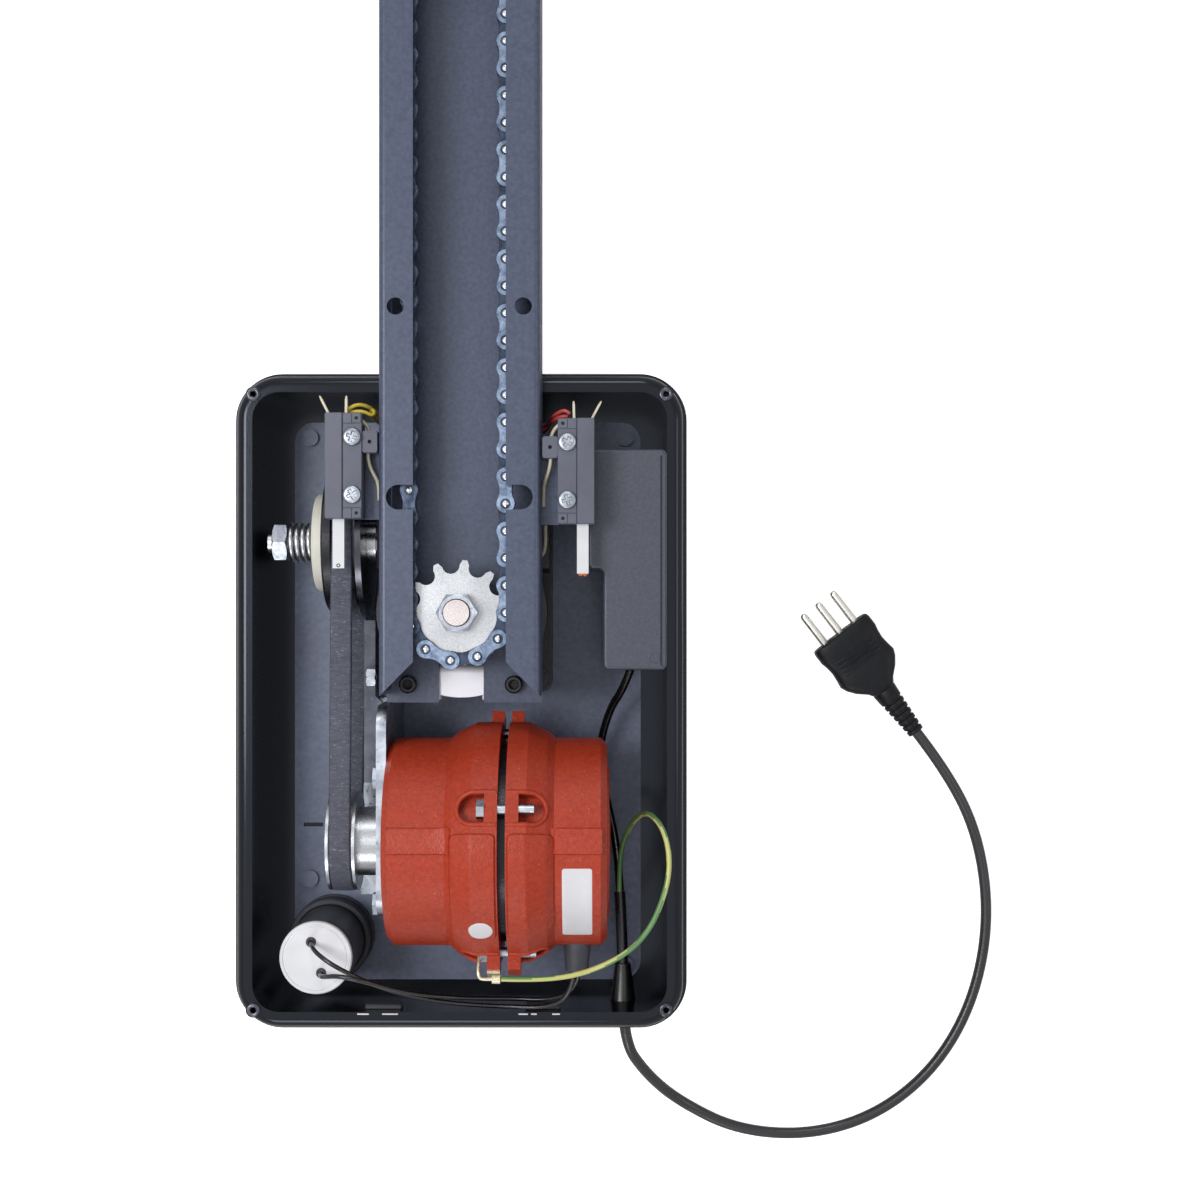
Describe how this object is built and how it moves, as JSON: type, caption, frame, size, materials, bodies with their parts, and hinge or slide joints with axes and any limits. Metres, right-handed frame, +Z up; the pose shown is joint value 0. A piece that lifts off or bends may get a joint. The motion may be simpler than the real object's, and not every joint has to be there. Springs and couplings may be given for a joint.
{
  "type": "up-and-over gate opener",
  "caption": "Chain-drive opener for an up-and-over gate: motor, belt, friction clutch and gearbox in an open tray that turn a chain in a C-shaped rail, with limit switches and mains plug.",
  "frame": {"origin": "middle of the tray's back, which lies on the floor", "axes": "+Y out along the rail, +X to the right with the motor towards the viewer, +Z up from the back towards the open side"},
  "size_m": [0.3784, 0.6661, 0.118],
  "materials": {
    "tray_plastic": "fine satin black",
    "dark_painted_steel": "dark grey paint",
    "zinc_steel": "zinc plated",
    "black_steel": "blackened",
    "bright_steel": "turned",
    "cast_aluminium": "die cast",
    "chain_steel": "blue-grey rolled steel",
    "friction_lining": "pressed lining",
    "belt_rubber": "matte",
    "red_enamel": "brick red enamel on casting",
    "black_rubber": "matte",
    "capacitor_case": "black moulding",
    "white_plastic": "white moulding",
    "black_plastic": "fine grain",
    "board_laminate": "green laminate",
    "switch_plastic": "grey moulding",
    "cord_sheath": "satin sheath",
    "pin_nickel": "nickel plated",
    "earth_sheath": "green and yellow sheath",
    "lead_sheath": "black sheath"
  },
  "bodies": {
    "frame": {"base_plate": "dark_painted_steel", "base_plate_screws": "zinc_steel", "capacitor_boot": "black_rubber", "capacitor_can": "capacitor_case", "capacitor_cap": "white_plastic", "capacitor_leads": "lead_sheath", "control_board": "board_laminate", "control_box": "black_plastic", "control_box_lid": "black_plastic", "drive_belt": "belt_rubber", "earth_terminal": "zinc_steel", "earth_wire": "earth_sheath", "end_bracket": "dark_painted_steel", "gearbox_bolts": "zinc_steel", "gearbox_cover": "cast_aluminium", "gearbox_housing": "cast_aluminium", "housing_tray": "tray_plastic", "limit_switch_brackets": "dark_painted_steel", "limit_switch_left": "switch_plastic", "limit_switch_right": "switch_plastic", "limit_switch_screws": "zinc_steel", "mains_cord": "cord_sheath", "mains_gland": "black_rubber", "mains_sheath": "cord_sheath", "motor_bracket": "zinc_steel", "motor_bracket_bolts": "zinc_steel", "motor_core": "black_steel", "motor_gland": "black_rubber", "motor_shell_left": "red_enamel", "motor_shell_right": "red_enamel", "motor_tie_bolts": "zinc_steel", "plug_body": "black_plastic", "plug_boot": "black_rubber", "plug_pins": "pin_nickel", "rail": "dark_painted_steel", "rail_screws": "black_steel", "return_axle": "bright_steel", "supply_lead": "lead_sheath", "tension_bolt": "zinc_steel", "tension_fork": "dark_painted_steel"},
    "motor_rotor": {"motor_shaft": "bright_steel", "motor_pulley": "bright_steel"},
    "clutch": {"worm_shaft": "bright_steel", "clutch_plate": "black_steel", "clutch_pulley": "bright_steel", "friction_disc": "friction_lining", "clutch_spring": "zinc_steel", "clutch_nut": "zinc_steel"},
    "output": {"output_shaft": "bright_steel", "drive_sprocket": "bright_steel", "sprocket_nut": "bright_steel", "chain_drive_wrap": "chain_steel"},
    "run_right": {"chain_run_right": "chain_steel"},
    "run_left": {"chain_run_left": "chain_steel"},
    "return_end": {"return_sprocket": "bright_steel", "chain_return_wrap": "chain_steel"},
    "lever_left": {"switch_lever_left": "white_plastic"},
    "lever_right": {"switch_lever_right": "white_plastic"}
  },
  "joints": [
    {"name": "motor_spin", "type": "hinge", "parent": "frame", "child": "motor_rotor", "pos_m": [-0.05, -0.0667, 0.061], "axis": [1, 0, 0], "range_deg": [-1402.6, 1402.6]},
    {"name": "clutch_spin", "type": "hinge", "parent": "frame", "child": "clutch", "pos_m": [-0.05, 0.0773, 0.044], "axis": [1, 0, 0], "range_deg": [-982.82, 982.82]},
    {"name": "sprocket_spin", "type": "hinge", "parent": "frame", "child": "output", "pos_m": [0.0011, 0.0433, 0.0865], "axis": [0, 0, 1], "range_deg": [-32.8, 32.8]},
    {"name": "chain_right_slide", "type": "slide", "parent": "frame", "child": "run_right", "axis": [0, 1, 0], "range_m": [-0.01275, 0.01275]},
    {"name": "chain_left_slide", "type": "slide", "parent": "frame", "child": "run_left", "axis": [0, 1, 0], "range_m": [-0.01275, 0.01275]},
    {"name": "return_spin", "type": "hinge", "parent": "frame", "child": "return_end", "pos_m": [0.0011, 0.37985, 0.0865], "axis": [0, 0, 1], "range_deg": [-32.8, 32.8]},
    {"name": "lever_left_press", "type": "hinge", "parent": "frame", "child": "lever_left", "pos_m": [-0.05426, 0.091, 0.0885], "axis": [0, 0, 1], "range_deg": [-6, 0], "stiffness_Nm_per_rad": 0.02},
    {"name": "lever_right_press", "type": "hinge", "parent": "frame", "child": "lever_right", "pos_m": [0.05966, 0.0885, 0.0885], "axis": [0, 0, 1], "range_deg": [0, 6], "stiffness_Nm_per_rad": 0.02}
  ],
  "couplings": [
    {"joint": "clutch_spin", "follows": "motor_spin", "ratio": 0.7},
    {"joint": "sprocket_spin", "follows": "motor_spin", "ratio": 0.023333},
    {"joint": "chain_right_slide", "follows": "motor_spin", "m_per_rad": 0.00051879},
    {"joint": "chain_left_slide", "follows": "motor_spin", "m_per_rad": -0.00051879},
    {"joint": "return_spin", "follows": "motor_spin", "ratio": 0.023333}
  ]
}
